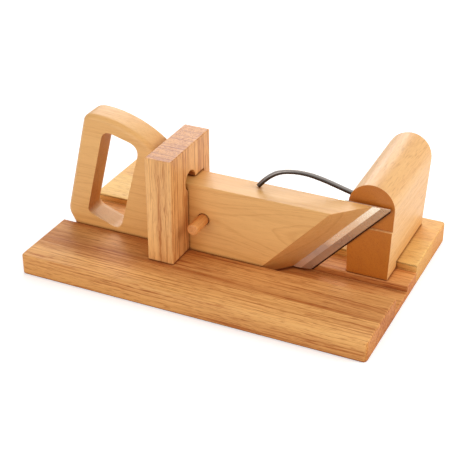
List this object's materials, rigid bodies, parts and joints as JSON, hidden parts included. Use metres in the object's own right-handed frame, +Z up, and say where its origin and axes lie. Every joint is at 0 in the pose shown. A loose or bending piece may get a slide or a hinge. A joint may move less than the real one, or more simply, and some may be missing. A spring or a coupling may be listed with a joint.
{
  "type": "sausage guillotine",
  "caption": "Wooden sausage cutter: a sliding arm with a grip and a slanted steel blade runs in a grooved board, through a slotted upright, past a round-topped stop block.",
  "frame": {"origin": "centre of the board's underside", "axes": "+X along the board, the way the arm is pushed to cut; +Y across it, from the user to the stop block's far end; +Z up"},
  "size_m": [0.3, 0.2, 0.1215],
  "materials": {
    "board_wood": "oiled, satin, grain along X",
    "upright_wood": "oiled, satin, grain along Z",
    "arm_wood": "oiled, satin, grain along X",
    "block_wood": "oiled, satin, grain along Y",
    "pin_wood": "plain dowel, satin",
    "blade_steel": "ground, lines across the strip",
    "wire_steel": "drawn wire, smooth",
    "screw_steel": "plain"
  },
  "bodies": {
    "base": {"base_board": "board_wood", "guide_upright": "upright_wood", "stop_block": "block_wood", "hold_down_wire": "wire_steel", "upright_screw_1": "screw_steel", "upright_screw_2": "screw_steel", "upright_screw_3": "screw_steel", "block_screw_1": "screw_steel", "block_screw_2": "screw_steel"},
    "arm": {"slide_arm": "arm_wood", "blade": "blade_steel", "blade_screw_1": "screw_steel", "blade_screw_2": "screw_steel", "blade_screw_3": "screw_steel"},
    "pin": {"lock_pin": "pin_wood"}
  },
  "joints": [
    {"name": "arm_slide", "type": "slide", "parent": "base", "child": "arm", "axis": [1, 0, 0], "range_m": [-0.0085, 0]},
    {"name": "lock_pin_pull", "type": "slide", "parent": "arm", "child": "pin", "axis": [0, -1, 0], "range_m": [0, 0.045]}
  ]
}
